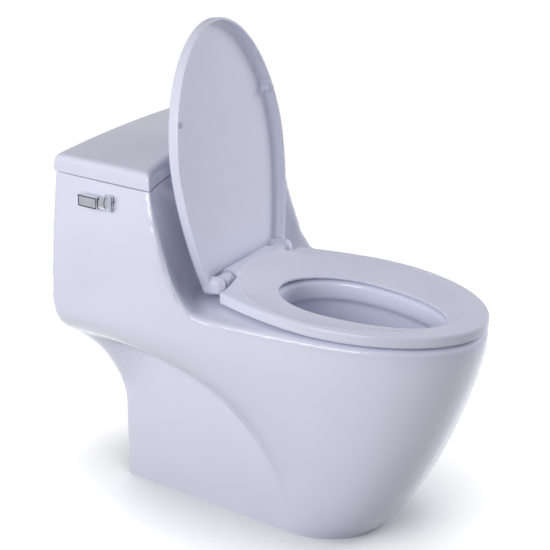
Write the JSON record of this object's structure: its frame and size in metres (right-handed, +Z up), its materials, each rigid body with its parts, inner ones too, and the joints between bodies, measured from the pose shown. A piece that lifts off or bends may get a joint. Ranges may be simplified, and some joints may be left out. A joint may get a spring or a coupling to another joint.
{
  "type": "one-piece toilet",
  "caption": "One-piece skirted toilet with a soft-close seat and open lid, a side trip lever, and a flush valve and fill valve in the tank.",
  "frame": {"origin": "on the floor below the middle of the bounding box", "axes": "+Z up, front of the bowl towards -Y, wall towards +Y, the trip lever on the -X side"},
  "size_m": [0.434, 0.749, 0.8791],
  "materials": {
    "china": "glossy white glaze",
    "seat_plastic": "glossy white",
    "clear_rubber": "translucent, satin",
    "steel": "plain",
    "chrome": "bright chrome plate",
    "brass": "plain",
    "rubber": "matt black",
    "nylon": "moulded, matt",
    "blue_plastic": "moulded, satin"
  },
  "bodies": {
    "base": {"toilet_body": "china", "hinge_post_right": "seat_plastic", "hinge_post_left": "seat_plastic", "hinge_bush_right": "clear_rubber", "hinge_bush_left": "clear_rubber", "hinge_damper_right": "nylon", "hinge_damper_left": "nylon", "hinge_pin_right": "steel", "hinge_pin_left": "steel", "hinge_stud_right": "steel", "hinge_stud_left": "steel", "hinge_washer_right": "rubber", "hinge_washer_left": "rubber", "hinge_nut_right": "nylon", "hinge_nut_left": "nylon", "lever_escutcheon": "chrome", "lever_locknut": "nylon", "flush_valve_body": "nylon", "flush_valve_gasket": "rubber", "flush_valve_screw_right": "brass", "flush_valve_screw_left": "brass", "rocker_pin": "steel", "fill_valve_body": "nylon", "fill_valve_washer": "rubber", "fill_valve_locknut": "nylon", "fill_valve_cap": "blue_plastic", "refill_pipe": "nylon", "outlet_seal": "rubber"},
    "cistern_lid": {"tank_lid": "china", "tank_lid_pad_1": "clear_rubber", "tank_lid_pad_2": "clear_rubber", "tank_lid_pad_3": "clear_rubber", "tank_lid_pad_4": "clear_rubber"},
    "seat": {"seat_ring": "seat_plastic", "seat_bumper_1": "clear_rubber", "seat_bumper_2": "clear_rubber", "seat_bumper_3": "clear_rubber", "seat_bumper_4": "clear_rubber"},
    "cover": {"seat_lid": "seat_plastic", "lid_buffer_right": "clear_rubber", "lid_buffer_left": "clear_rubber"},
    "lever": {"trip_lever": "chrome", "lever_arm": "brass"},
    "rocker": {"flush_rocker": "blue_plastic"},
    "stem": {"flush_stem": "blue_plastic", "flush_seal": "rubber"},
    "float": {"float_cup": "nylon"}
  },
  "joints": [
    {"name": "cover_hinge", "type": "hinge", "parent": "base", "child": "cover", "pos_m": [0, 0.0885, 0.434], "axis": [-1, 0, 0], "range_deg": [-98, 0]},
    {"name": "seat_hinge", "type": "hinge", "parent": "base", "child": "seat", "pos_m": [0, 0.0885, 0.434], "axis": [-1, 0, 0], "range_deg": [0, 96]},
    {"name": "lever_turn", "type": "hinge", "parent": "base", "child": "lever", "pos_m": [-0.201, 0.2445, 0.589], "axis": [-1, 0, 0], "range_deg": [0, 20], "stiffness_Nm_per_rad": 0.3, "springref_deg": -34.38},
    {"name": "rocker_turn", "type": "hinge", "parent": "base", "child": "rocker", "pos_m": [-0.025, 0.2825, 0.559], "axis": [0, -1, 0], "range_deg": [0, 35]},
    {"name": "stem_lift", "type": "slide", "parent": "base", "child": "stem", "axis": [0, 0, 1], "range_m": [0, 0.0155]},
    {"name": "float_rise", "type": "slide", "parent": "base", "child": "float", "axis": [0, 0, 1], "range_m": [0, 0.055]},
    {"name": "cistern_lid_lift", "type": "slide", "parent": "base", "child": "cistern_lid", "axis": [0, 0, 1], "range_m": [0, 0.06]}
  ],
  "couplings": [
    {"joint": "rocker_turn", "follows": "lever_turn", "ratio": 1.75},
    {"joint": "stem_lift", "follows": "lever_turn", "m_per_rad": 0.0444}
  ]
}
